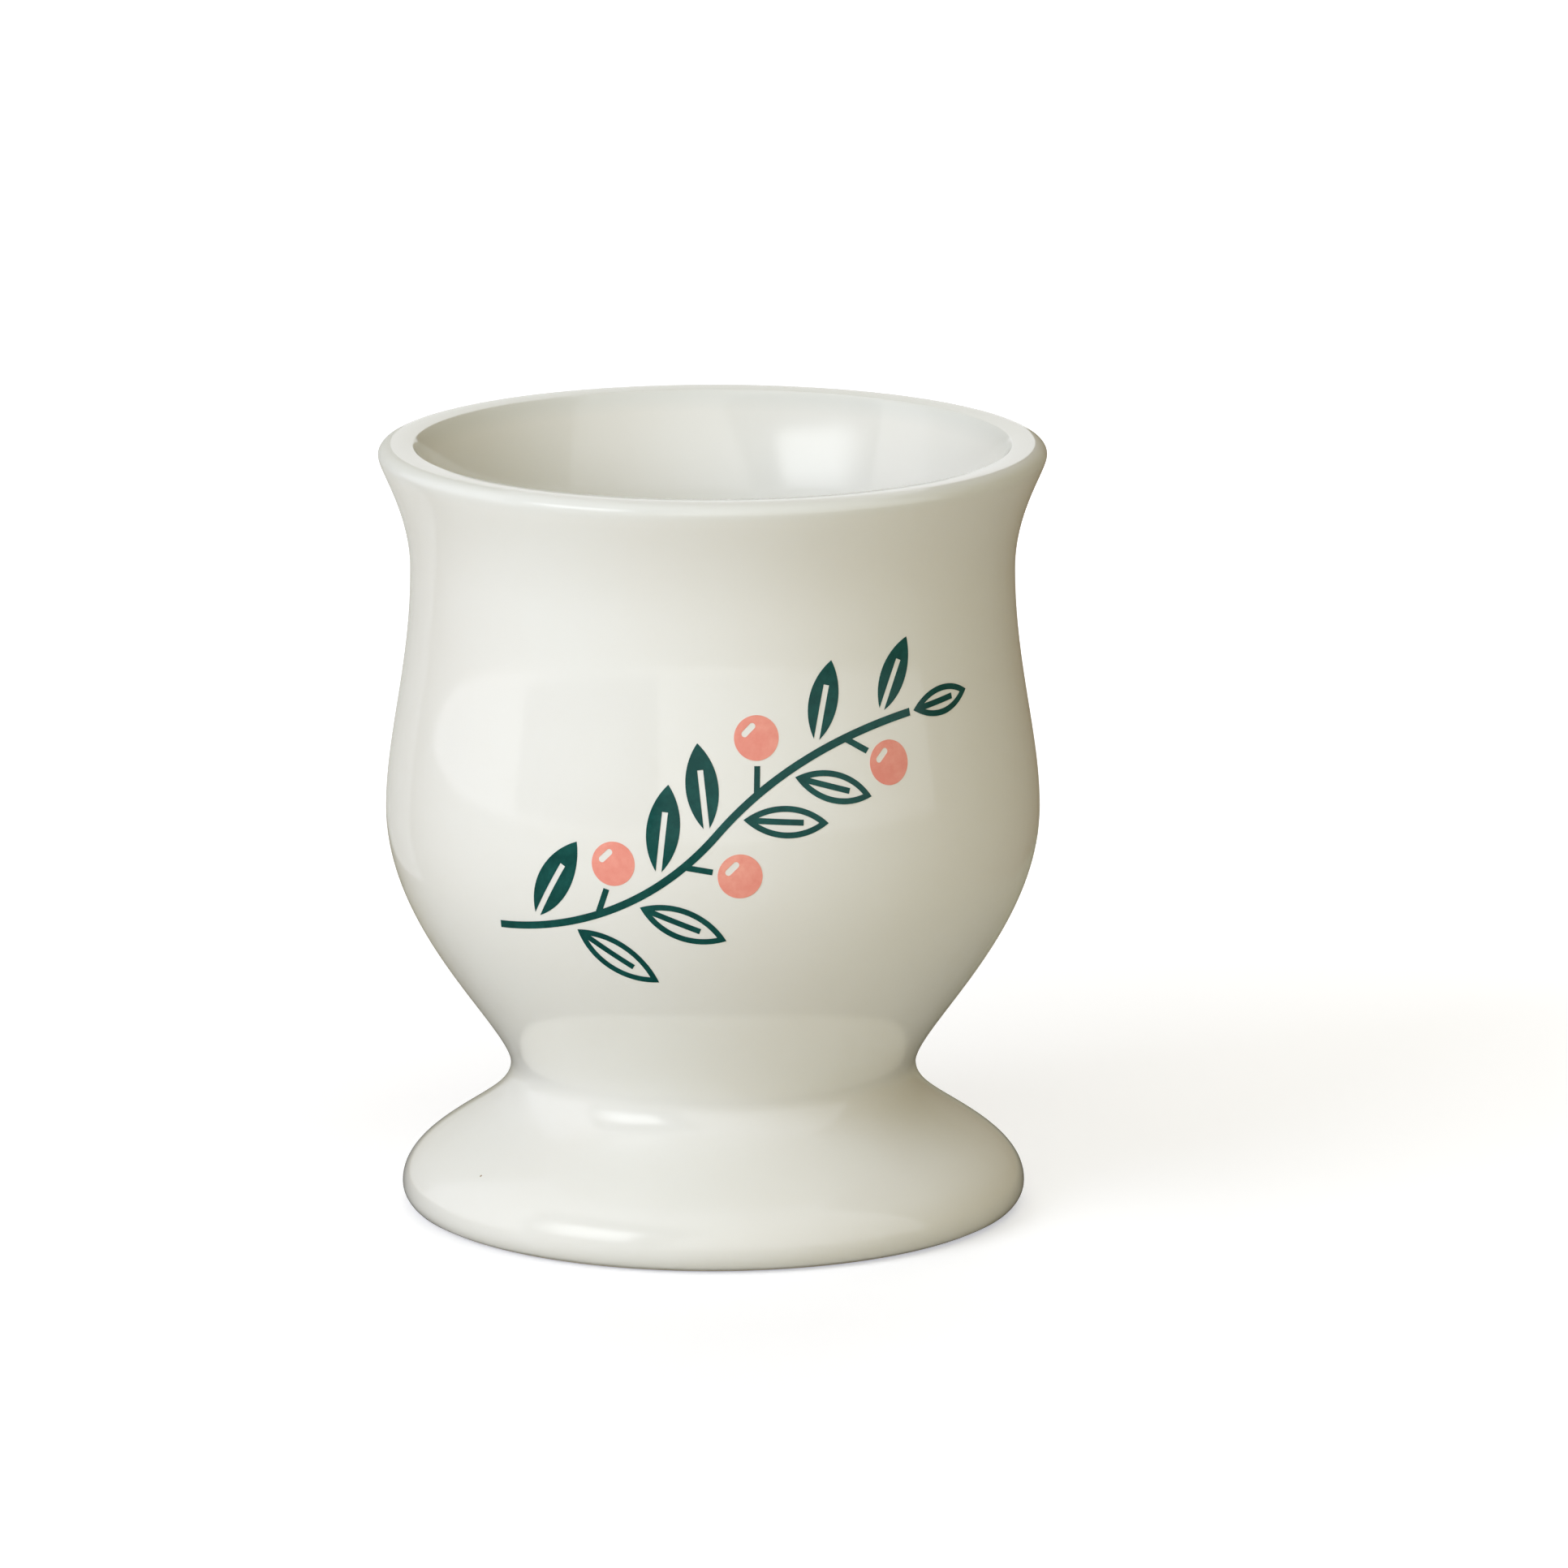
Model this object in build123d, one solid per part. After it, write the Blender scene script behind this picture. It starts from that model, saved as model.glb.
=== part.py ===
from build123d import *
from math import asin, atan2, cos, degrees, radians, sin, sqrt
import os

# Egg cup in glazed porcelain: a bowl and a hollow flared foot, cast apart and luted together with slip
# at the waist, with a sprig of leaves and berries in two inks fired onto the front of the bowl.
# Millimetres, +Z up, origin at the centre of the resting ring, front towards -Y.

# Rises of the outside, each counted from the place before it
foot_edge_rise = 1.67
waist_rise = 9.43
belly_rise = 21.07
neck_rise = 17.99
lip_rise = 8.93
crest_rise = 0.91

# Radii of the outside at those places, where its wall stands upright
foot_radius = 24.22
waist_radius = 15.74
belly_radius = 25.32
neck_radius = 23.34
lip_radius = 25.75

# Spans of the outside between those places, each an arc, a straight run and an arc that bends back.
# Straightness is 0 where the two arcs meet and 1 for a straight line, and the ratio is the radius of the
# upper arc to that of the lower one.
foot_straightness = 0.276
foot_bend_ratio = 1.0
bowl_straightness = 0.17
bowl_bend_ratio = 7.0
shoulder_straightness = 0.208
shoulder_bend_ratio = 2.5
lip_straightness = 0.086
lip_bend_ratio = 0.144

# Inside of the bowl and of the foot. Flatness is 0 for a hollow whose edge bends down its full depth, and
# grows as the edge bends tighter and the middle flattens.
bowl_wall = 3.0
bowl_floor = 3.0
bowl_flatness = 0.15
mouth_straightness = 0.1
mouth_bend_ratio = 0.15
lip_flat = 0.8
lip_inner_radius = 1.2
foot_roof = 3.0
ring_width = 2.6
well_flatness = 0.15

# Slip between the two castings
slip = 0.4

# Stem of the sprig, as the front view shows it: sideways from the middle, and up from the waist
ink = 0.05
ink_clearance = 0.02
stem_start_left = 16.0
stem_start_rise = 15.1
stem_turn_right = 0.5
stem_turn_rise = 23.5
stem_end_right = 15.0
stem_end_rise = 31.6
stem_start_angle = 5.0
stem_width = 0.6

# Shoots of the sprig, as they lie on its flat sheet
shoots = 13
shoots_per_berry = 3
shoot_angle = 50.0
stencil_gap = 0.4
first_leaf_length = 7.4
last_leaf_length = 6.0
leaf_slimness = 2.7
leaf_line = 0.45
vein_share = 0.7
stalk_length = 2.2
stalk_width = 0.45
berry_radius = 1.7
glint_length = 1.3
glint_width = 0.5
glint_out = 0.85
glint_angle = 135.0

# Heights above the table
foot_edge_height = foot_edge_rise
waist_height = foot_edge_height + waist_rise
belly_height = waist_height + belly_rise
neck_height = belly_height + neck_rise
lip_height = neck_height + lip_rise
total_height = lip_height + crest_rise
floor_height = waist_height + slip / 2 + bowl_floor
roof_height = waist_height - slip / 2 - foot_roof

# Places in the half-plane of radius and height
ring_outer = (foot_radius - foot_edge_rise, 0)
ring_inner = (foot_radius - foot_edge_rise - ring_width, 0)
foot_edge = (foot_radius, foot_edge_height)
waist = (waist_radius, waist_height)
belly = (belly_radius, belly_height)
neck = (neck_radius, neck_height)
lip = (lip_radius, lip_height)
lip_top = (lip_radius - crest_rise, total_height)
lip_inner = (lip_radius - crest_rise - lip_flat, total_height)
inner_lip = (lip_radius - crest_rise - lip_flat - lip_inner_radius, total_height - lip_inner_radius)
inner_neck = (neck_radius - bowl_wall, neck_height)
inner_belly = (belly_radius - bowl_wall, belly_height)
clear_of_all = lip_radius + belly_radius
UP, DOWN, OUT = (0, 1), (0, -1), (1, 0)


def sway(low, high, straightness, bend_ratio):
    """The wall from one upright place up to the next: an arc, a straight run and an arc that bends back."""
    (low_r, low_z), (high_r, high_z) = low, high
    step, rise = abs(high_r - low_r), high_z - low_z
    both_bends = (1 - straightness) * (step**2 + rise**2) / (2 * step)
    low_bend = both_bends / (1 + bend_ratio)
    high_bend = both_bends - low_bend
    run = sqrt(step**2 + rise**2 - 2 * both_bends * step)
    turn = 2 * atan2(rise - run, 2 * both_bends - step)
    side = 1 if high_r > low_r else -1
    run_start = (low_r + side * low_bend * (1 - cos(turn)), low_z + low_bend * sin(turn))
    run_end = (high_r - side * high_bend * (1 - cos(turn)), high_z - high_bend * sin(turn))
    return [
        TangentArc(low, run_start, tangent=UP),
        Line(run_start, run_end),
        TangentArc(high, run_end, tangent=DOWN),
    ]


def hollow(edge, middle_height, flatness):
    """Two arcs from an upright edge to the axis, which the second one meets at a right angle."""
    edge_r, edge_z = edge
    depth = abs(edge_z - middle_height)
    edge_bend = (1 - flatness) * min(depth, edge_r)
    centre_r = edge_r - edge_bend
    middle_bend = (centre_r**2 + depth**2 - edge_bend**2) / (2 * (depth - edge_bend))
    reach = middle_bend / (middle_bend - edge_bend)
    side = 1 if edge_z > middle_height else -1
    meeting = (centre_r * reach, middle_height + side * (middle_bend - (middle_bend - depth) * reach))
    return [
        TangentArc(edge, meeting, tangent=(0, -side)),
        TangentArc((0, middle_height), meeting, tangent=OUT),
    ]


def bowl_outside(spread):
    """Outside of the bowl from the waist to the lip, moved out by a spread."""
    places = [(radius + spread, height) for radius, height in (waist, belly, neck, lip)]
    spans = [
        (bowl_straightness, bowl_bend_ratio),
        (shoulder_straightness, shoulder_bend_ratio),
        (lip_straightness, lip_bend_ratio),
    ]
    return [line for low, high, span in zip(places, places[1:], spans) for line in sway(low, high, *span)]


def turned(section):
    """Solid that a face of the half-plane sweeps about the cup's axis."""
    return revolve(Plane.XZ * section, Axis.Z)


# Section of the whole cup, cut at the waist by the layer of slip
section = make_face([
    Line(ring_inner, ring_outer),
    TangentArc(foot_edge, ring_outer, tangent=DOWN),
    *sway(foot_edge, waist, foot_straightness, foot_bend_ratio),
    *bowl_outside(0),
    TangentArc(lip, lip_top, tangent=UP),
    Line(lip_top, lip_inner),
    TangentArc(inner_lip, lip_inner, tangent=UP),
    *sway(inner_neck, inner_lip, mouth_straightness, mouth_bend_ratio),
    *sway(inner_belly, inner_neck, shoulder_straightness, shoulder_bend_ratio),
    *hollow(inner_belly, floor_height, bowl_flatness),
    Line((0, floor_height), (0, roof_height)),
    *hollow(ring_inner, roof_height, well_flatness),
])
slip_layer = Pos(0, waist_height) * Rectangle(2 * clear_of_all, slip)
foot_section, bowl_section = (section - slip_layer).faces().sort_by(Axis.Y)
pieces = {
    "bowl": turned(bowl_section),
    "foot": turned(foot_section),
    "slip_joint": turned(section & slip_layer),
}


def printed_body(spread):
    """The bowl's outside as a full body, moved out by a spread."""
    return turned(make_face([
        *bowl_outside(spread),
        Line((lip_radius + spread, lip_height), (0, lip_height)),
        Line((0, lip_height), (0, waist_height)),
        Line((0, waist_height), (waist_radius + spread, waist_height)),
    ]))


# The bowl before and after a film of ink all over it: a motif is the stretch of film between them, which
# keeps a hair's clearance so that no two curved faces overlap
bare_body = printed_body(ink_clearance)
inked_body = printed_body(ink_clearance + ink)
outside_line = Wire([line.edge() for line in bowl_outside(0)])


def glaze_radius(height):
    """Radius of the outside at a height on the bowl."""
    level = Line((0, height), (clear_of_all, height))
    return outside_line.intersect(level).vertex().X


def facing(angle, height):
    """Upright plane on the axis that looks out of the cup, turned from the front by an angle in radians."""
    return Plane((0, 0, height), x_dir=(cos(angle), sin(angle), 0), z_dir=(sin(angle), -cos(angle), 0))


def print_motif(angle, height, motif):
    """The film that a flat motif covers when it is carried straight out from the axis."""
    return (extrude(facing(angle, height) * motif, amount=clear_of_all) & inked_body) - bare_body


def leaf_blade(length):
    """Pointed leaf along X, about its middle."""
    rim = ThreePointArc((-length / 2, 0), (0, length / leaf_slimness / 2), (length / 2, 0))
    return make_face([rim, rim.mirror(Plane.XZ)])


def leaf_vein(length):
    """Strip along the middle of a leaf, from its base towards its tip."""
    reach = length * vein_share
    return Pos((reach - length) / 2, 0) * Rectangle(reach, leaf_line)


def inked_leaf(length):
    """Leaf in full ink, with its vein left bare."""
    return leaf_blade(length) - leaf_vein(length)


def drawn_leaf(length):
    """Leaf as an outline with its vein."""
    blade = leaf_blade(length)
    return (blade - offset(blade, amount=-leaf_line)) + (blade & leaf_vein(length))


def berry():
    """Round berry with a glint left bare in its upper left."""
    glint = Pos(glint_out, 0) * Rot(0, 0, 90) * SlotOverall(glint_length, glint_width)
    return Circle(berry_radius) - Rot(0, 0, glint_angle) * glint


# Stem in two arcs that bend opposite ways
stem_start = (-stem_start_left, waist_height + stem_start_rise)
stem_turn = (stem_turn_right, waist_height + stem_turn_rise)
stem_end = (stem_end_right, waist_height + stem_end_rise)
stem_start_way = Vector(1, 0).rotate(Axis.Z, stem_start_angle)
lower_stem = TangentArc(stem_start, stem_turn, tangent=stem_start_way)
upper_stem = TangentArc(stem_turn, stem_end, tangent=lower_stem % 1)
stem = Wire([lower_stem.edge(), upper_stem.edge()])
strokes = trace(stem, stem_width)

# Shoots that leave the stem left and right in turn, some with a berry on a stalk and the rest with a leaf,
# and one more leaf that ends the stem
side_gap = (stem_width / 2 + stencil_gap) / sin(radians(shoot_angle))
leaves, berries = 0, 0
for number in range(1, shoots + 2):
    share = number / (shoots + 1)
    ends_stem = number > shoots
    on_left = number % 2 == 1
    lean = 0 if ends_stem else shoot_angle if on_left else -shoot_angle
    base, along = stem @ share, stem % share
    base_angle = asin(base.X / glaze_radius(base.Y))
    way = Vector(along.X / cos(base_angle), along.Y).normalized().rotate(Axis.Z, lean)
    if number % shoots_per_berry == 0 and not ends_stem:
        berries += 1
        name, motif = f"sprig_berry_{berries}", berry()
        stalk_end = base + Vector(way.X * cos(base_angle), way.Y) * stalk_length
        strokes += trace(Line(base, stalk_end), stalk_width)
        reach = stalk_length + stencil_gap + berry_radius
    else:
        leaves += 1
        length = first_leaf_length + (last_leaf_length - first_leaf_length) * share
        leaf = inked_leaf(length) if on_left else drawn_leaf(length)
        name, motif = f"sprig_leaf_{leaves}", Rot(0, 0, degrees(atan2(way.Y, way.X))) * leaf
        reach = (stencil_gap if ends_stem else side_gap) + length / 2
    height = base.Y + way.Y * reach
    angle = base_angle + way.X * reach / glaze_radius(height)
    pieces[name] = print_motif(angle, height, motif)
pieces["sprig_stem"] = print_motif(0, 0, strokes)

os.makedirs("parts", exist_ok=True)
for name, piece in pieces.items():
    export_step(piece, f"parts/{name}.step")
print(len(pieces), "pieces, height", round(total_height, 2), "mm")
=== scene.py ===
# %% [markdown]
# # A footed egg cup in glazed porcelain
# The cup is a turned shape: a round bowl with a lip that rolls outwards, on a waisted foot that is hollow
# beneath. A sprig of leaves and berries is fired onto its front. The measured solids come first, as a fixed
# frame, and everything that is made below goes where they are.

# %% The measured cup
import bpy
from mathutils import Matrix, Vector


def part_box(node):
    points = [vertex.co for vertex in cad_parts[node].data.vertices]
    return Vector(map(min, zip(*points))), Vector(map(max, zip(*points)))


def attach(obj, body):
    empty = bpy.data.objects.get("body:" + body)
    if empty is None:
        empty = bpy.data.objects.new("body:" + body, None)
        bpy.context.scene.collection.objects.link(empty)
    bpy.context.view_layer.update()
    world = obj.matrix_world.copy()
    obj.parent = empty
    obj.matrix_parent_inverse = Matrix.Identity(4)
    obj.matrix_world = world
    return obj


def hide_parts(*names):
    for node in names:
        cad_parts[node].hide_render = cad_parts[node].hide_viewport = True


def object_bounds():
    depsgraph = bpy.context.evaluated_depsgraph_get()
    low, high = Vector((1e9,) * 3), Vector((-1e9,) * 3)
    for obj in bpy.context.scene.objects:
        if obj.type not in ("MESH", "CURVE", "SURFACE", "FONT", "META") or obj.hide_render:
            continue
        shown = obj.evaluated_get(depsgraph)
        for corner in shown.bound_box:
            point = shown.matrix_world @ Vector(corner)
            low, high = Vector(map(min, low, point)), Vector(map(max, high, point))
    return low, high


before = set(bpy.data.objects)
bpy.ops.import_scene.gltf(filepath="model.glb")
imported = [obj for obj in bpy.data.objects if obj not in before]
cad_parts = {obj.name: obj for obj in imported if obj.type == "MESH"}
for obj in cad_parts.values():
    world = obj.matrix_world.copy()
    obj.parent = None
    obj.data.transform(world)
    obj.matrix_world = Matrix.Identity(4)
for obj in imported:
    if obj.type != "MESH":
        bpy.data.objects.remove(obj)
cad_low, cad_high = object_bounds()
print(len(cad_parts), "solids, highest corner", [round(c, 5) for c in cad_high])

# %% Blender's own modules
from math import asin, atan2, cos, pi, radians, sin

import bmesh
import bpy
from mathutils import Matrix, Vector
from mathutils.geometry import interpolate_bezier

MM = 0.001
TINY = 0.0005
print("Blender", bpy.app.version_string, "with everything drawn in millimetres and finished in metres")

# %% [markdown]
# ## The outline
# A thrown or cast cup has no edges on its outside: one flowing line runs from the foot to the lip, and it
# stands upright at the foot's edge, the waist, the belly, the neck and the lip. A lathe shape can be drawn
# point by point, but then every point has to be right. Here each of those five places is a point with an
# upright tangent, and a Bezier curve carries the line from one to the next, so that it stays smooth.

# %% Places where the wall stands upright
bowl_low, bowl_high = (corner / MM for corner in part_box("bowl"))
foot_low, foot_high = (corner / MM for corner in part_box("foot"))
slip_low, slip_high = (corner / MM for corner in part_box("slip_joint"))


def place(radius, height):
    """Point of the half-plane beside the axis."""
    return Vector((radius, 0, height))


foot_edge = place(foot_high.x, 1.67)
waist = place(slip_high.x, (slip_low.z + slip_high.z) / 2)
belly = place(25.31, 31.4)
neck = place(23.33, 50.3)
lip = place(bowl_high.x, 59.15)
print("lip radius", round(lip.x, 2), "mm, waist radius", round(waist.x, 2), "mm")

# %% Curves between the places
WALL_POINTS = 44
ROUND_POINTS = 12
CIRCLE_PULL = 0.552
PARABOLA_PULL = 2 / 3


def wall(low, high, low_pull, high_pull):
    """Wall between two upright places. A pull is the share of the rise that the handle there reaches."""
    rise = Vector((0, 0, high.z - low.z))
    return interpolate_bezier(low, low + low_pull * rise, high - high_pull * rise, high, WALL_POINTS)


def rounding(start, corner, end, pull=CIRCLE_PULL, points=ROUND_POINTS):
    """Curve from start to end that is bent towards the corner where its tangents meet."""
    return interpolate_bezier(start, start.lerp(corner, pull), end.lerp(corner, pull), end, points)


foot_wall = wall(foot_edge, waist, 0.427, 0.411)
bowl_wall = wall(waist, belly, 0.155, 0.472)
shoulder = wall(belly, neck, 0.302, 0.403)
lip_wall = wall(neck, lip, 0.509, 0.103)
outside = bowl_wall + shoulder[1:] + lip_wall[1:]
print(len(outside), "points from the waist to the lip")

# %% [markdown]
# ## The lip
# Seen from above, the lip has a top about one and a half millimetres wide that falls slightly inwards.
# Its outer edge is rounded, and its inner edge is crisper and turns into a mouth that flares. A bevel on a
# plain tube would round both edges alike, so the two rounds are curves, each towards its own corner.

# %% Lip, mouth and the inside of the bowl
belly_thickness = 3.0
neck_thickness = 3.5
floor_thickness = 3.0
HOLLOW_PULL = 0.6
inner_belly = place(belly.x - belly_thickness, belly.z)
inner_neck = place(neck.x - neck_thickness, neck.z - 1.0)
mouth = place(22.72, bowl_high.z - 0.6)
lip_top = place(lip.x - 1.1, bowl_high.z)
lip_inner = place(23.1, bowl_high.z - 0.08)
bowl_middle = place(0, slip_high.z + floor_thickness)
bowl_corner = place(inner_belly.x, bowl_middle.z)
flare_corner = place(inner_neck.x, (inner_neck.z + mouth.z) / 2)
mouth_corner = flare_corner.lerp(mouth, (lip_inner.z - flare_corner.z) / (mouth.z - flare_corner.z))

lip_round = rounding(lip, place(lip.x, bowl_high.z), lip_top)
mouth_round = rounding(lip_inner, mouth_corner, mouth)
mouth_wall = rounding(mouth, flare_corner, inner_neck, PARABOLA_PULL, WALL_POINTS)
inner_shoulder = wall(inner_belly, inner_neck, 0.302, 0.403)[::-1]
bowl_bottom = rounding(inner_belly, bowl_corner, bowl_middle, HOLLOW_PULL, WALL_POINTS)
inside = lip_round + mouth_round + mouth_wall[1:] + inner_shoulder[1:] + bowl_bottom[1:]
print("mouth", round(2 * mouth.x, 1), "mm wide, bowl", round(mouth.z - bowl_middle.z, 1), "mm deep")

# %% [markdown]
# ## The resting ring
# A glazed pot would stick to the kiln shelf, so the potter wipes the glaze from the ring that it stands on.
# The ring is bare, dull porcelain, and the glaze ends above it in a tiny step. The step is real here: the
# outline sets in by the depth of the glaze where the bare ring begins.

# %% Foot edge, bare ring and well
glaze_depth = 0.12
glaze_end = 0.32
ring_outer = place(22.55, foot_low.z)
ring_inner = place(20.35, foot_low.z)
well_edge = place(19.75, 0.9)
well_middle = place(0, foot_high.z - floor_thickness)

outer_round = rounding(foot_edge, place(foot_edge.x, foot_low.z), ring_outer)
inner_round = rounding(ring_inner, place(well_edge.x, foot_low.z), well_edge)
towards_axis = Vector((-glaze_depth, 0, 0))
glazed_outer = [point for point in outer_round if point.z > glaze_end]
bare_outer = [point + towards_axis for point in outer_round if point.z <= glaze_end]
bare_inner = [point - towards_axis for point in inner_round if point.z <= glaze_end]
glazed_inner = [point for point in inner_round if point.z > glaze_end]
well_corner = place(well_edge.x, well_middle.z)
well = rounding(well_edge, well_corner, well_middle, HOLLOW_PULL, WALL_POINTS)
underside = glazed_outer + bare_outer + bare_inner + glazed_inner + well[1:]
print("bare ring", round(bare_outer[0].x - bare_inner[-1].x, 2), "mm wide")

# %% [markdown]
# ## Turning the cup
# A Screw modifier would turn the outline as well. The spin operator does it once and for all in the mesh,
# so the poles can be merged and the faces turned outwards before the cup gets its finish.

# %% Spin the outline
SPIN_STEPS = 240
outline = underside[::-1] + foot_wall[1:] + outside[1:] + inside[1:]


def turned(points):
    """Closed body that an outline from axis to axis sweeps about the Z axis."""
    bm = bmesh.new()
    corners = [bm.verts.new(point) for point in points]
    lines = [bm.edges.new(pair) for pair in zip(corners, corners[1:])]
    bmesh.ops.spin(
        bm, geom=corners + lines, cent=(0, 0, 0), axis=(0, 0, 1),
        angle=2 * pi, steps=SPIN_STEPS, use_merge=True,
    )
    bmesh.ops.remove_doubles(bm, verts=bm.verts, dist=TINY)
    bmesh.ops.recalc_face_normals(bm, faces=bm.faces)
    return bm


cup_mesh = turned(outline)
print(len(cup_mesh.faces), "faces, volume", round(cup_mesh.calc_volume()), "mm3")

# %% [markdown]
# ## Glaze
# The cup is ivory porcelain under a clear glaze. The glaze is glossy but not a perfect mirror: it lies in
# slow waves, it drifts between two ivories, it is greyer at the top of the rim, and here and there a speck
# of iron has burnt through it. A flat colour with a high gloss would look like plastic, so waves, drift and
# specks each have their own texture at their real size, and the rim goes by its height.

# %% Nodes for a material
def node_adder(tree):
    """Function that adds a node to a tree and sets or links its inputs."""

    def add(kind, inputs=None, **settings):
        node = tree.nodes.new(kind)
        for key, value in settings.items():
            setattr(node, key, value)
        for key, value in (inputs or {}).items():
            if isinstance(value, bpy.types.NodeSocket):
                tree.links.new(value, node.inputs[key])
            else:
                node.inputs[key].default_value = value
        return node

    return add


def new_material(name):
    """Material with a Principled shader, a function that adds nodes and one that links into the shader."""
    material = bpy.data.materials.new(name)
    material.use_nodes = True
    tree = material.node_tree
    shader = tree.nodes["Principled BSDF"]

    def join(output, key):
        tree.links.new(output, shader.inputs[key])

    return material, shader, node_adder(tree), join


def mixed(add, share, first, second):
    """Colour between two colours or sockets."""
    return add("ShaderNodeMix", {0: share, 6: first, 7: second}, data_type="RGBA").outputs[2]


print("material helpers ready")

# %% Glazed porcelain
IVORY = (0.833, 0.845, 0.812, 1)
RIM_TOP_IVORY = (0.78, 0.80, 0.77, 1)
WARM_IVORY = (0.825, 0.826, 0.785, 1)
SPECK = (0.36, 0.27, 0.18, 1)


def glaze():
    """Ivory porcelain under a clear gloss glaze."""
    material, shader, add, join = new_material("ivory_glaze")
    spot = add("ShaderNodeTexCoord").outputs["Object"]
    cloud = add("ShaderNodeTexNoise", {"Vector": spot, "Scale": 60.0, "Detail": 3.0})
    height = add("ShaderNodeSeparateXYZ", {"Vector": spot}).outputs["Z"]
    # The top of the rim turns greyer, set by height alone.
    thin = add("ShaderNodeMapRange", {"Value": height, "From Min": 0.0583, "From Max": 0.0594})
    pool = add("ShaderNodeMapRange", {"Value": cloud.outputs["Fac"], "From Min": 0.35, "From Max": 0.75})
    body = mixed(add, pool.outputs[0], IVORY, WARM_IVORY)
    body = mixed(add, thin.outputs[0], body, RIM_TOP_IVORY)

    cells = add("ShaderNodeTexVoronoi", {"Vector": spot, "Scale": 170.0})
    chosen = add("ShaderNodeSeparateColor", {"Color": cells.outputs["Color"]}).outputs["Red"]
    rare = add("ShaderNodeMath", {0: chosen, 1: 0.96}, operation="GREATER_THAN")
    dot = add(
        "ShaderNodeMapRange",
        {"Value": cells.outputs["Distance"], "From Min": 0.022, "From Max": 0.012},
    )
    speck = add("ShaderNodeMath", {0: rare.outputs[0], 1: dot.outputs[0]}, operation="MULTIPLY")
    join(mixed(add, speck.outputs[0], body, SPECK), "Base Color")

    smear = add("ShaderNodeTexNoise", {"Vector": spot, "Scale": 240.0, "Detail": 4.0})
    gloss = add("ShaderNodeMapRange", {"Value": smear.outputs["Fac"], "To Min": 0.05, "To Max": 0.11})
    join(gloss.outputs[0], "Roughness")
    waves = add("ShaderNodeTexNoise", {"Vector": spot, "Scale": 110.0, "Detail": 1.5})
    bump = add("ShaderNodeBump", {"Height": waves.outputs["Fac"], "Strength": 0.06, "Distance": 0.0008})
    join(bump.outputs[0], "Normal")
    shader.inputs["IOR"].default_value = 1.52
    return material


PALE_BISCUIT = (0.76, 0.71, 0.60, 1)
STAINED_BISCUIT = (0.60, 0.53, 0.41, 1)
BISCUIT_GRAIN = (0.70, 0.65, 0.55, 1)


def bare_porcelain():
    """Dull biscuit porcelain where the glaze was wiped off."""
    material, shader, add, join = new_material("bare_porcelain")
    spot = add("ShaderNodeTexCoord").outputs["Object"]
    grain = add("ShaderNodeTexNoise", {"Vector": spot, "Scale": 2600.0, "Detail": 5.0})
    stain = add("ShaderNodeTexNoise", {"Vector": spot, "Scale": 130.0, "Detail": 3.0})
    body = mixed(add, stain.outputs["Fac"], PALE_BISCUIT, STAINED_BISCUIT)
    join(mixed(add, grain.outputs["Fac"], body, BISCUIT_GRAIN), "Base Color")
    bump = add("ShaderNodeBump", {"Height": grain.outputs["Fac"], "Strength": 0.5, "Distance": 0.00006})
    join(bump.outputs[0], "Normal")
    shader.inputs["Roughness"].default_value = 0.78
    return material


print("glaze and bare porcelain ready")

# %% The glazed cup as a piece
def finished(name, bm, materials, slot, *nodes):
    """Object of a mesh that rides on the cup and stands for its CAD nodes. Its slot is not used."""
    bmesh.ops.scale(bm, verts=bm.verts, vec=(MM, MM, MM))
    mesh = bpy.data.meshes.new(name)
    bm.to_mesh(mesh)
    bm.free()
    for material in materials:
        mesh.materials.append(material)
    piece = bpy.data.objects.new(name, mesh)
    bpy.context.scene.collection.objects.link(piece)
    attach(piece, "root")
    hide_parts(*nodes)
    return piece


for face in cup_mesh.faces:
    face.smooth = True
    middle = face.calc_center_median()
    on_ring = bare_inner[-1].x < Vector((middle.x, middle.y)).length < bare_outer[0].x
    face.material_index = 1 if on_ring and middle.z < glaze_end else 0
cup_finish = [glaze(), bare_porcelain()]
cup = finished("glazed_cup", cup_mesh, cup_finish, "glazed_porcelain", "bowl", "foot", "slip_joint")
print(cup.name, len(cup.data.polygons), "faces")

# %% [markdown]
# ## The sprig
# The sprig is printed with fired ink on a flat sheet and laid onto the bowl, so it is drawn flat here too.
# The leaves and berries are flat meshes in the front view's plane, made from circles that are cut, inset,
# stretched and mirrored. Then each is diced, wrapped onto the wall and given the thickness of the ink.
# Painting the sprig with texture nodes would be quicker, but a print of its own catches light on its edge.

# %% Ink materials
def ink(name, full, thin):
    """Fired ink that lies a little uneven, under the gloss of the glaze."""
    material, shader, add, join = new_material(name)
    spot = add("ShaderNodeTexCoord").outputs["Object"]
    fine = add("ShaderNodeTexNoise", {"Vector": spot, "Scale": 1500.0, "Detail": 4.0, "Roughness": 0.65})
    broad = add("ShaderNodeTexNoise", {"Vector": spot, "Scale": 320.0, "Detail": 2.0})
    uneven = add("ShaderNodeMath", {0: fine.outputs["Fac"], 1: broad.outputs["Fac"]}, operation="MULTIPLY")
    share = add("ShaderNodeMapRange", {"Value": uneven.outputs[0], "From Min": 0.14, "From Max": 0.42})
    join(mixed(add, share.outputs[0], full, thin), "Base Color")
    bump = add("ShaderNodeBump", {"Height": fine.outputs["Fac"], "Strength": 0.05, "Distance": 0.00005})
    join(bump.outputs[0], "Normal")
    shader.inputs["Roughness"].default_value = 0.16
    shader.inputs["Specular IOR Level"].default_value = 0.25
    return material


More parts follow.
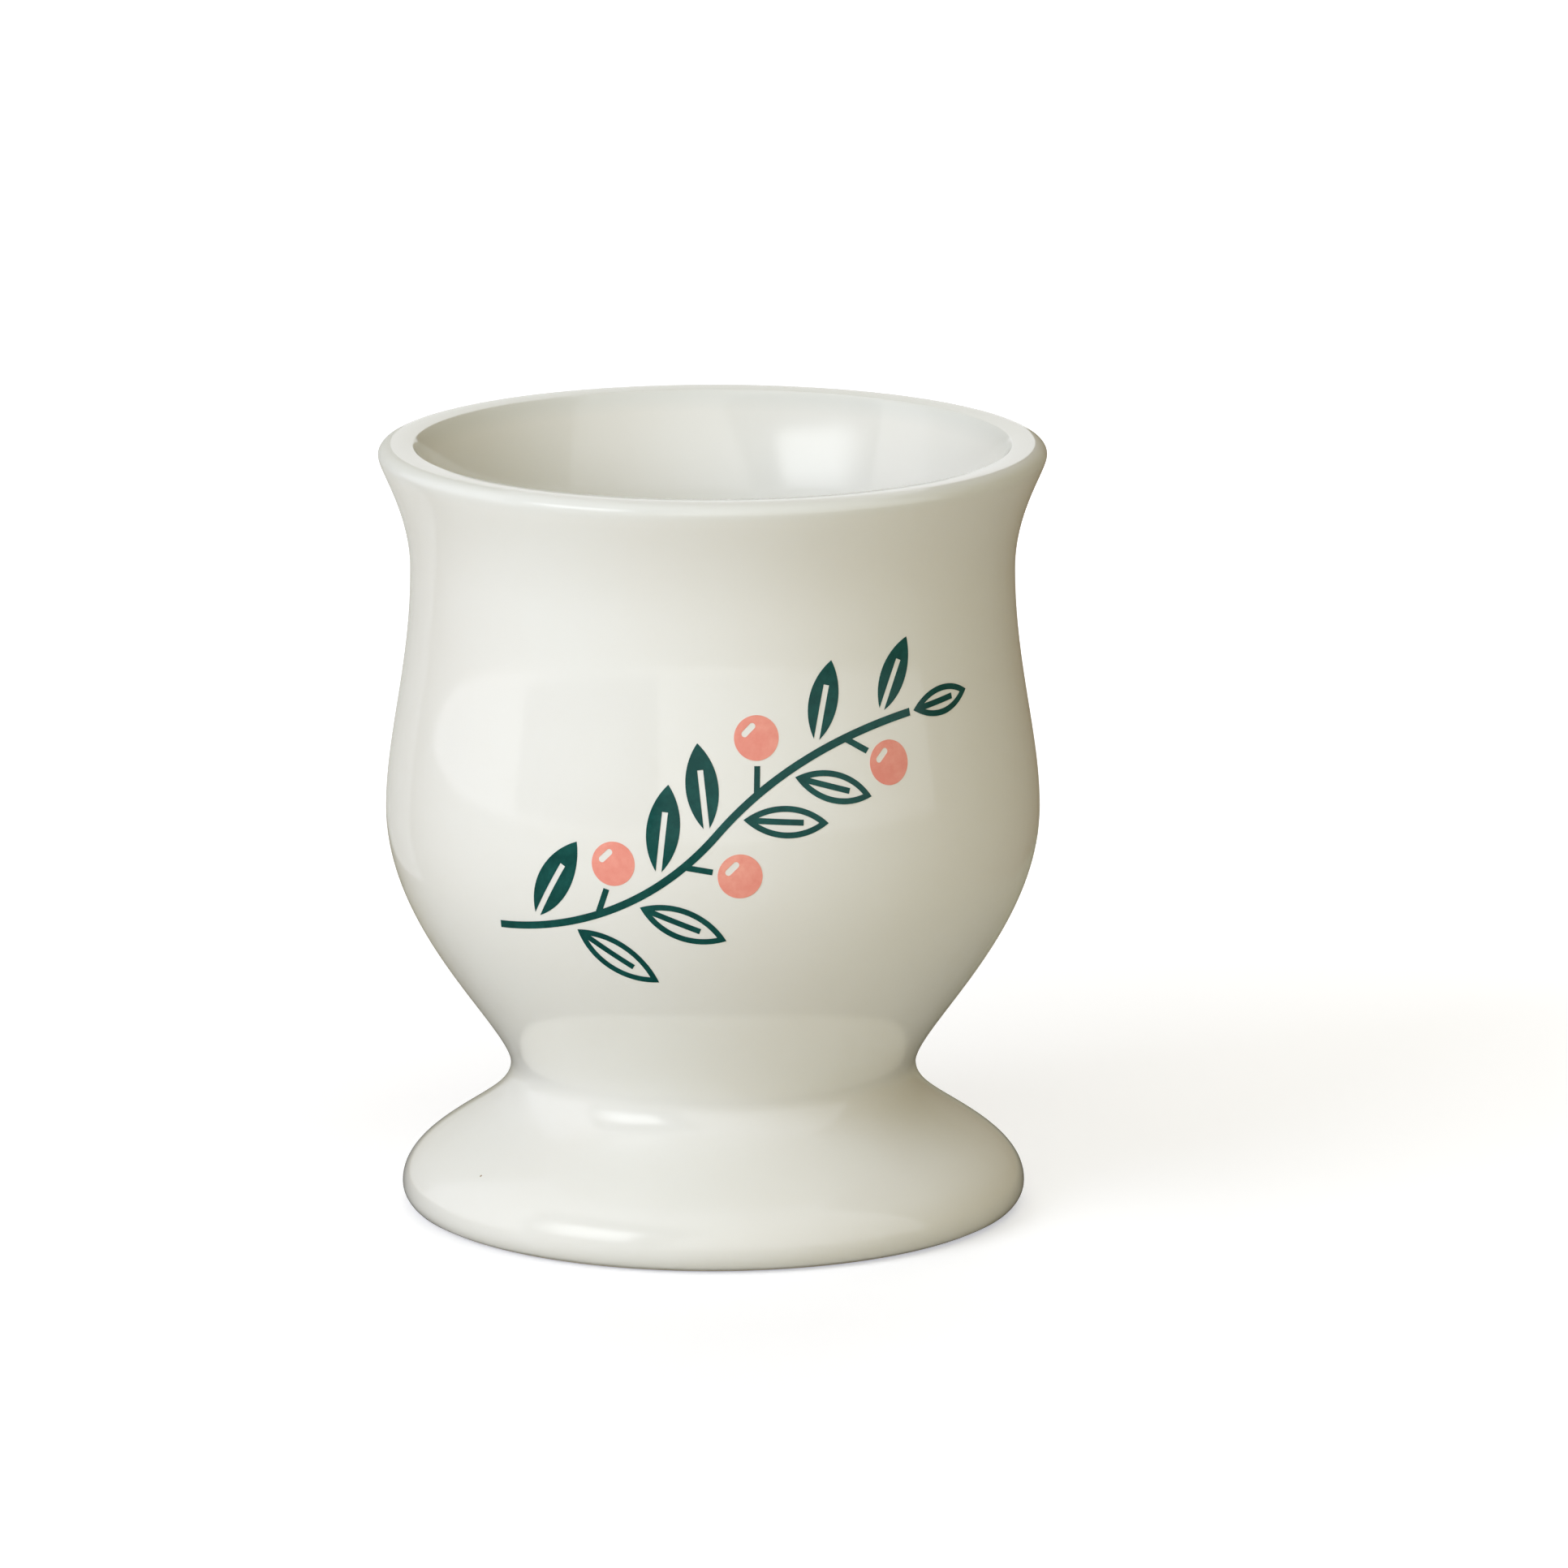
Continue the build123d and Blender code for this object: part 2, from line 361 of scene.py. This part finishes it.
green_ink = ink("fired_green", (0.003, 0.058, 0.052, 1), (0.008, 0.088, 0.078, 1))
coral_ink = ink("fired_coral", (0.84, 0.30, 0.24, 1), (0.90, 0.39, 0.31, 1))
print("inks", green_ink.name, coral_ink.name)

# %% Leaf, flat
CIRCLE_STEPS = 160
leaf_slimness = 2.7
leaf_line = 0.45
vein_share = 0.7
upright = Matrix.Rotation(pi / 2, 4, "X")


def everything(bm):
    return bm.verts[:] + bm.edges[:] + bm.faces[:]


def cut(bm, point, normal, keep_both=True):
    """Cut along a plane. Unless both sides are kept, clear the one that the normal points away from."""
    bmesh.ops.bisect_plane(
        bm, geom=everything(bm), dist=TINY, plane_co=point, plane_no=normal, clear_inner=not keep_both
    )


def flat_leaf(length, drawn):
    """Pointed leaf along X: an outline with its vein, or full of ink with its vein left bare."""
    width = length / leaf_slimness
    rim_radius = (length**2 + width**2) / (4 * width)
    centre = Matrix.Translation((0, 0, width / 2 - rim_radius))
    vein_end = length * (vein_share - 0.5)
    bm = bmesh.new()
    bmesh.ops.create_circle(
        bm, cap_ends=True, radius=rim_radius, segments=CIRCLE_STEPS, matrix=centre @ upright
    )
    within_line = bm.faces[:]
    bmesh.ops.inset_region(
        bm, faces=within_line, thickness=leaf_line, use_boundary=True, use_even_offset=True
    )
    within_line[0].material_index = 1
    cut(bm, (0, 0, 0), (0, 0, 1), keep_both=False)
    cut(bm, (0, 0, leaf_line / 2), (0, 0, 1))
    cut(bm, (vein_end, 0, 0), (1, 0, 0))

    def unprinted(face):
        middle = face.calc_center_median()
        in_vein = middle.z < leaf_line / 2 and middle.x < vein_end
        return face.material_index == 1 and not in_vein if drawn else in_vein

    bmesh.ops.delete(bm, geom=[face for face in bm.faces if unprinted(face)], context="FACES")
    bmesh.ops.mirror(bm, geom=everything(bm), axis="Z", merge_dist=TINY)
    return bm


trial = flat_leaf(7, True)
print("drawn leaf", len(trial.faces), "faces")
trial.free()

# %% Berry, flat
berry_radius = 1.7
glint_length = 1.3
glint_width = 0.5
glint_out = 0.85
glint_turn = Matrix.Rotation(-radians(135), 4, "Y")
BERRY_STEPS = 64
GLINT_STEPS = 26


def flat_berry():
    """Round berry with a bare glint in its upper left."""
    bm = bmesh.new()
    bmesh.ops.create_circle(bm, radius=berry_radius, segments=BERRY_STEPS, matrix=upright)
    half_step = Matrix.Rotation(pi / GLINT_STEPS, 4, "Z")
    glint = bmesh.ops.create_circle(
        bm, radius=glint_width / 2, segments=GLINT_STEPS, matrix=upright @ half_step
    )["verts"]
    stretch = Vector((0, 0, (glint_length - glint_width) / 2))
    for way in (1, -1):
        half = [vert for vert in glint if vert.co.z * way > 0]
        bmesh.ops.translate(bm, verts=half, vec=stretch * way)
    bmesh.ops.translate(bm, verts=glint, vec=(glint_out, 0, 0))
    bmesh.ops.rotate(bm, verts=glint, cent=(0, 0, 0), matrix=glint_turn)
    bmesh.ops.triangle_fill(bm, edges=bm.edges, use_beauty=True)
    return bm


trial = flat_berry()
print("berry", len(trial.faces), "faces")
trial.free()

# %% [markdown]
# ## Laying the print on the wall
# A decal lies on the wall wherever the wall goes. Each point of the flat drawing keeps its height, and its
# sideways distance becomes a turn about the cup's axis. The Shrinkwrap modifier could press the drawing on
# as well, but it pulls towards the nearest point and would swell the motifs where the bowl bulges.

# %% Wrap, dice and thicken
CELL = 0.5
SHARP_EDGE = radians(40)
ink_sunk = 0.015
ink_film = 0.045


def wall_radius(height):
    """Radius of the cup's outside at a height above the waist."""
    upper = next(index for index, point in enumerate(outside) if point.z >= height)
    low, high = outside[upper - 1], outside[upper]
    return low.x + (high.x - low.x) * (height - low.z) / (high.z - low.z)


def dice(bm):
    """Cut a flat drawing into small cells, so that it can bend with the wall."""
    for axis, normal in ((0, Vector((1, 0, 0))), (2, Vector((0, 0, 1)))):
        ends = [vert.co[axis] for vert in bm.verts]
        low, high = min(ends), max(ends)
        cuts = int((high - low) / CELL)
        for number in range(1, cuts + 1):
            cut(bm, normal * (low + number * (high - low) / (cuts + 1)), normal)


def print_on_wall(name, bm, turn, height, material, slot):
    """Lay a flat drawing on the wall, turned from the front and raised, and give it the ink's thickness."""
    dice(bm)
    bmesh.ops.remove_doubles(bm, verts=bm.verts, dist=TINY)
    raised = bmesh.ops.extrude_face_region(bm, geom=bm.faces[:], use_keep_orig=True)["geom"]
    surface = {item for item in raised if isinstance(item, bmesh.types.BMVert)}
    for vert in bm.verts:
        level = height + vert.co.z
        radius = wall_radius(level)
        angle = turn + asin(vert.co.x / radius)
        radius += ink_film - ink_sunk if vert in surface else -ink_sunk
        vert.co = Vector((radius * sin(angle), -radius * cos(angle), level))
    bmesh.ops.recalc_face_normals(bm, faces=bm.faces)
    for face in bm.faces:
        face.smooth = True
        face.material_index = 0
    for edge in bm.edges:
        edge.smooth = edge.calc_face_angle(0) < SHARP_EDGE
    return finished("printed_" + name, bm, [material], slot, "sprig_" + name)


print("wall radius at the belly", round(wall_radius(belly.z), 2), "mm")

# %% [markdown]
# ## The stem
# The stem bends one way and then the other, two arcs that run into each other. A short line across its
# start is spun about the centre of the first arc, and where that ends, about the centre of the second. The
# berries' stalks are extruded out of the stem's own edge, so that the ink is one sheet.

# %% Two arcs of the stem
stem_width = 0.6
stem_start = place(-16.0, waist.z + 15.1)
stem_turn = place(0.5, waist.z + 23.5)
stem_end = place(15.0, waist.z + 31.6)


def turn_in_front(vector, angle):
    """Turn a vector of the front view anticlockwise."""
    return Matrix.Rotation(-angle, 3, "Y") @ vector


def bend(start, way, end):
    """Arc that leaves start along a way and ends at end: its centre, its angle and the way that it ends."""
    across = turn_in_front(way, pi / 2)
    chord = end - start
    centre = start + across * chord.length_squared / (2 * chord.dot(across))
    angle = 2 * atan2(chord.dot(across), chord.dot(way))
    return centre, angle, turn_in_front(way, angle)


start_way = turn_in_front(Vector((1, 0, 0)), radians(5))
low_centre, low_angle, turn_way = bend(stem_start, start_way, stem_turn)
high_centre, high_angle, end_way = bend(stem_turn, turn_way, stem_end)
low_length = abs(low_angle) * (stem_start - low_centre).length
high_length = abs(high_angle) * (stem_turn - high_centre).length
print("stem", round(low_length + high_length, 1), "mm long")


def along_stem(share):
    """Point of the stem at a share of its length, and the way that the stem goes there."""
    length = share * (low_length + high_length)
    if length <= low_length:
        start, way, centre, angle = stem_start, start_way, low_centre, low_angle * length / low_length
    else:
        start, way, centre = stem_turn, turn_way, high_centre
        angle = high_angle * (length - low_length) / high_length
    return centre + turn_in_front(start - centre, angle), turn_in_front(way, angle)


# %% Stem ribbon
STEM_STEPS = 44
stem = bmesh.new()
across_stem = turn_in_front(start_way, pi / 2) * stem_width / 2
ends = [stem.verts.new(stem_start + across_stem), stem.verts.new(stem_start - across_stem)]
front = ends + [stem.edges.new(ends)]
for centre, angle in ((low_centre, low_angle), (high_centre, high_angle)):
    swept = bmesh.ops.spin(stem, geom=front, cent=centre, axis=(0, -1, 0), angle=angle, steps=STEM_STEPS)
    front = swept["geom_last"]
print("stem ribbon", len(stem.faces), "faces")

# %% [markdown]
# ## Shoots
# Thirteen shoots leave the stem left and right in turn. Every third one carries a berry on a stalk, and the
# others carry a leaf, full on the left and drawn in outline on the right. One more leaf ends the stem.

# %% Stalks out of the stem's edge
stalk_length = 2.2
stalk_width = 0.45


def grow_stalk(bm, base, tip):
    """Extrude a stalk from the stretch of the stem's edge that faces its tip."""
    way = (tip - base).normalized()
    across = turn_in_front(way, pi / 2)
    for side in (1, -1):
        cut(bm, base + across * side * stalk_width / 2, across)

    def faces_tip(edge):
        offsets = [vert.co - base for vert in edge.verts]
        within = all(abs(offset.dot(across)) < stalk_width / 2 + TINY for offset in offsets)
        beside = all(0 < offset.dot(way) and offset.length < 2 * stem_width for offset in offsets)
        return edge.is_boundary and within and beside

    root = [edge for edge in bm.edges if faces_tip(edge)]
    grown = bmesh.ops.extrude_edge_only(bm, edges=root)["geom"]
    for vert in (item for item in grown if isinstance(item, bmesh.types.BMVert)):
        vert.co += way * (tip - vert.co).dot(way)


print("stalks", stalk_length, "mm long")

# %% Leaves and berries along the stem
shoots = 13
shoots_per_berry = 3
shoot_angle = radians(50)
stencil_gap = 0.4
first_leaf, last_leaf = 7.4, 6.0
side_gap = (stem_width / 2 + stencil_gap) / sin(shoot_angle)
leaves, berries = 0, 0
for number in range(1, shoots + 2):
    share = number / (shoots + 1)
    ends_stem = number > shoots
    on_left = number % 2 == 1
    lean = 0 if ends_stem else shoot_angle if on_left else -shoot_angle
    base, along = along_stem(share)
    base_turn = asin(base.x / wall_radius(base.z))
    way = turn_in_front(Vector((along.x / cos(base_turn), 0, along.z)).normalized(), lean)
    if number % shoots_per_berry == 0 and not ends_stem:
        berries += 1
        name, drawing = f"berry_{berries}", flat_berry()
        material, slot = coral_ink, "coral_ink"
        grow_stalk(stem, base, base + Vector((way.x * cos(base_turn), 0, way.z)) * stalk_length)
        reach = stalk_length + stencil_gap + berry_radius
    else:
        leaves += 1
        length = first_leaf + (last_leaf - first_leaf) * share
        name, drawing = f"leaf_{leaves}", flat_leaf(length, not on_left)
        material, slot = green_ink, "green_ink"
        leaf_turn = Matrix.Rotation(-atan2(way.z, way.x), 3, "Y")
        bmesh.ops.rotate(drawing, verts=drawing.verts, cent=(0, 0, 0), matrix=leaf_turn)
        reach = (stencil_gap if ends_stem else side_gap) + length / 2
    height = base.z + way.z * reach
    turn = base_turn + way.x * reach / wall_radius(height)
    print_on_wall(name, drawing, turn, height, material, slot)
print_on_wall("stem", stem, 0, 0, green_ink, "green_ink")
print(leaves, "leaves and", berries, "berries")

# %% [markdown]
# ## Table and light
# The cup stands on a white table. A square softbox on its left is the main light, and broad fills from
# overhead, the right, the left, the front and the back soften it. White porcelain on white loses its edge,
# so photographers stand cards just outside the picture, and the glaze mirrors them along its outline. The
# cards here are not lit: each glows with a painted shade of its own, so what the glaze shows of them is a
# painted reflection, and the one that lies on the table glows fainter close to the cup as a painted shadow.
# If the glaze mirrored every lamp too, each would show in it as a window. So the lamps only light the cup,
# and the cards and the softbox's face are only mirrored: no card blocks a view from another side.

# %% Rays that see the background
def seen_rays(add):
    """1 for the rays that show the background to the eye: straight, mirrored or through glass."""
    path = add("ShaderNodeLightPath")
    seen = path.outputs["Is Camera Ray"]
    for kind in ("Is Glossy Ray", "Is Transmission Ray"):
        seen = add("ShaderNodeMath", {0: seen, 1: path.outputs[kind]}, operation="MAXIMUM").outputs[0]
    return seen


def on_stage(name, bm, material):
    """Object of a mesh that belongs to the studio and not to the cup."""
    bmesh.ops.scale(bm, verts=bm.verts, vec=(MM, MM, MM))
    mesh = bpy.data.meshes.new(name)
    bm.to_mesh(mesh)
    bm.free()
    mesh.materials.append(material)
    thing = bpy.data.objects.new(name, mesh)
    bpy.context.scene.collection.objects.link(thing)
    return thing


print("stage helpers ready")

# %% White table
LIFT_BY_CUP = 0.50
LIFT_AWAY = 0.82
TABLE_WHITE = (0.74, 0.725, 0.68, 1)
TABLE_FLECK = (0.77, 0.755, 0.71, 1)


def white_table():
    """Matt white that the eye sees lighter than it is lit, so that it runs into the background."""
    material, shader, add, join = new_material("white_table")
    spot = add("ShaderNodeTexCoord").outputs["Object"]
    fleck = add("ShaderNodeTexNoise", {"Vector": spot, "Scale": 900.0, "Detail": 3.0})
    join(mixed(add, fleck.outputs["Fac"], TABLE_WHITE, TABLE_FLECK), "Base Color")
    away = add("ShaderNodeVectorMath", {0: spot}, operation="LENGTH").outputs["Value"]
    lift = add(
        "ShaderNodeMapRange",
        {"Value": away, "From Min": 0.04, "From Max": 0.20, "To Min": LIFT_BY_CUP, "To Max": LIFT_AWAY},
    )
    seen_lift = add("ShaderNodeMath", {0: seen_rays(add), 1: lift.outputs[0]}, operation="MULTIPLY")
    join(seen_lift.outputs[0], "Emission Strength")
    shader.inputs["Emission Color"].default_value = (0.85, 0.89, 1, 1)
    shader.inputs["Roughness"].default_value = 0.9
    shader.inputs["Specular IOR Level"].default_value = 0.1
    return material


table_mesh = bmesh.new()
bmesh.ops.create_circle(table_mesh, cap_ends=True, radius=2500, segments=96)
table = on_stage("table", table_mesh, white_table())
print("table", round(table.dimensions.x, 1), "m across")

# %% Glowing cards beside the picture
def only_mirrored(thing):
    """Keep a thing of the studio from every ray but the ones that the glaze mirrors."""
    thing.visible_camera = False
    thing.visible_diffuse = False
    thing.visible_shadow = False


def card(name, start, end, rise, shade):
    """Glowing card from one corner to another, widened by a rise. The glaze mirrors its glow as a
    painted reflection, which fades close to the cup as a painted shadow.
    """
    material, shader, add, join = new_material(name)
    shader.inputs["Base Color"].default_value = (0, 0, 0, 1)
    shader.inputs["Specular IOR Level"].default_value = 0.0
    shader.inputs["Emission Color"].default_value = shade
    spot = add("ShaderNodeTexCoord").outputs["Object"]
    away = add("ShaderNodeVectorMath", {0: spot}, operation="LENGTH").outputs["Value"]
    # Painted shadow: the glow fades to nothing close to the cup.
    outside_painted_shadow = add("ShaderNodeMapRange", {"Value": away, "From Min": 0.025, "From Max": 0.07})
    join(outside_painted_shadow.outputs[0], "Emission Strength")
    bm = bmesh.new()
    base = bm.edges.new([bm.verts.new(start), bm.verts.new(end)])
    raised = bmesh.ops.extrude_edge_only(bm, edges=[base])["geom"]
    top = [item for item in raised if isinstance(item, bmesh.types.BMVert)]
    bmesh.ops.translate(bm, verts=top, vec=rise)
    only_mirrored(on_stage(name, bm, material))


# Each card glows with its own painted shade, and the glaze shows it as a painted reflection.
card("right_glow_card", (82, -24, 0), (38, 190, 0), (0, 0, 170), (0.22, 0.17, 0.10, 1))
card("left_glow_card", (-70, 35, 0), (-38, 190, 0), (0, 0, 170), (0.58, 0.58, 0.53, 1))
card("table_glow_card", (-760, -760, 0.2), (760, -760, 0.2), (0, 1360, 0), (0.26, 0.24, 0.16, 1))

# %% Lamps
SOFTBOX_PLACE = (-46, 28, 620)


def aim(thing, azimuth, elevation, distance):
    """Stand a thing away from the cup, facing it. Azimuth 0 is the front and 90 the right."""
    turn, rise = radians(azimuth), radians(elevation)
    away = Vector((sin(turn) * cos(rise), -cos(turn) * cos(rise), sin(rise)))
    thing.location = Vector((0, 0, cad_high.z / 2)) + away * distance * MM
    thing.rotation_euler = away.to_track_quat("Z", "Y").to_euler()


def lamp(name, azimuth, elevation, distance, size, energy, colour):
    """Square area lamp that the glaze doesn't mirror."""
    light = bpy.data.lights.new(name, "AREA")
    light.size = size * MM
    light.energy = energy
    light.color = colour
    thing = bpy.data.objects.new(name, light)
    thing.visible_glossy = False
    bpy.context.scene.collection.objects.link(thing)
    aim(thing, azimuth, elevation, distance)


lamp("softbox", *SOFTBOX_PLACE, 360, 2.3, (0.745, 0.81, 1.0))
lamp("overhead", 0, 85, 1100, 1000, 0.8, (0.95, 0.98, 1.0))
lamp("right_fill", 40, 65, 1100, 700, 1.85, (0.88, 0.95, 1.0))
lamp("left_fill", -95, 4, 1100, 700, 1.8, (1.0, 0.94, 0.86))
lamp("front_fill", 0, 25, 1300, 900, 4.75, (1.0, 0.985, 0.87))
lamp("back_fill", 180, 25, 1300, 900, 7.5, (0.94, 0.97, 1.0))
print("lamps", [light.name for light in bpy.data.lights])

# %% Face of the softbox
FACE_HALF = 340
FACE_GLOW = 3.5
face_fades = {
    "right": ("X", 200, 98),
    "left": ("X", -330, -76),
    "top": ("Y", 165, 60),
    "bottom": ("Y", -285, -40),
}


def face_glow():
    """Light of the softbox's cloth: even in its middle, gone at its edges, crisper at the right and top."""
    material, shader, add, join = new_material("softbox_face")
    spot = add("ShaderNodeTexCoord").outputs["Object"]
    across = add("ShaderNodeSeparateXYZ", {"Vector": spot})
    glow = FACE_GLOW
    for axis, edge, full in face_fades.values():
        fade = add(
            "ShaderNodeMapRange",
            {"Value": across.outputs[axis], "From Min": edge * MM, "From Max": full * MM},
            interpolation_type="SMOOTHSTEP",
        )
        glow = add("ShaderNodeMath", {0: glow, 1: fade.outputs[0]}, operation="MULTIPLY").outputs[0]
    join(glow, "Emission Strength")
    shader.inputs["Base Color"].default_value = (0, 0, 0, 1)
    shader.inputs["Emission Color"].default_value = (0.95, 0.98, 1, 1)
    shader.inputs["Specular IOR Level"].default_value = 0.0
    return material


face_mesh = bmesh.new()
bmesh.ops.create_grid(face_mesh, x_segments=1, y_segments=1, size=FACE_HALF)
softbox_face = on_stage("softbox_face", face_mesh, face_glow())
aim(softbox_face, *SOFTBOX_PLACE)
only_mirrored(softbox_face)
print("softbox face", round(softbox_face.dimensions.x, 2), "m across")

# %% Room
ROOM = (0.192, 0.138, 0.032, 1)


def room():
    """Warm, dim room that lights the cup all round, white where the eye meets it."""
    world = bpy.data.worlds.new("room")
    world.use_nodes = True
    tree = world.node_tree
    add = node_adder(tree)
    tint = mixed(add, seen_rays(add), ROOM, (1, 1, 1, 1))
    tree.links.new(tint, tree.nodes["Background"].inputs["Color"])
    return world


bpy.context.scene.world = room()
print("room light", ROOM[:3])

# %% [markdown]
# ## Camera
# The picture was taken with a long lens from well away, a little above the cup and looking down on it. The
# long lens keeps the lip and the foot almost the same ellipse. The cup stands left of the middle.

# %% Long lens
camera = bpy.data.cameras.new("long_lens")
camera.lens = 270.45
camera.sensor_width = 36
viewer = bpy.data.objects.new("long_lens", camera)
viewer.location = (0.0055, -0.8915, 0.22589)
viewer.rotation_euler = (radians(90 - 12.205), 0, 0)
bpy.context.scene.collection.objects.link(viewer)
bpy.context.scene.camera = viewer
bpy.context.scene.view_settings.view_transform = "Standard"
print("camera", round(viewer.location.length, 3), "m from the cup's foot")
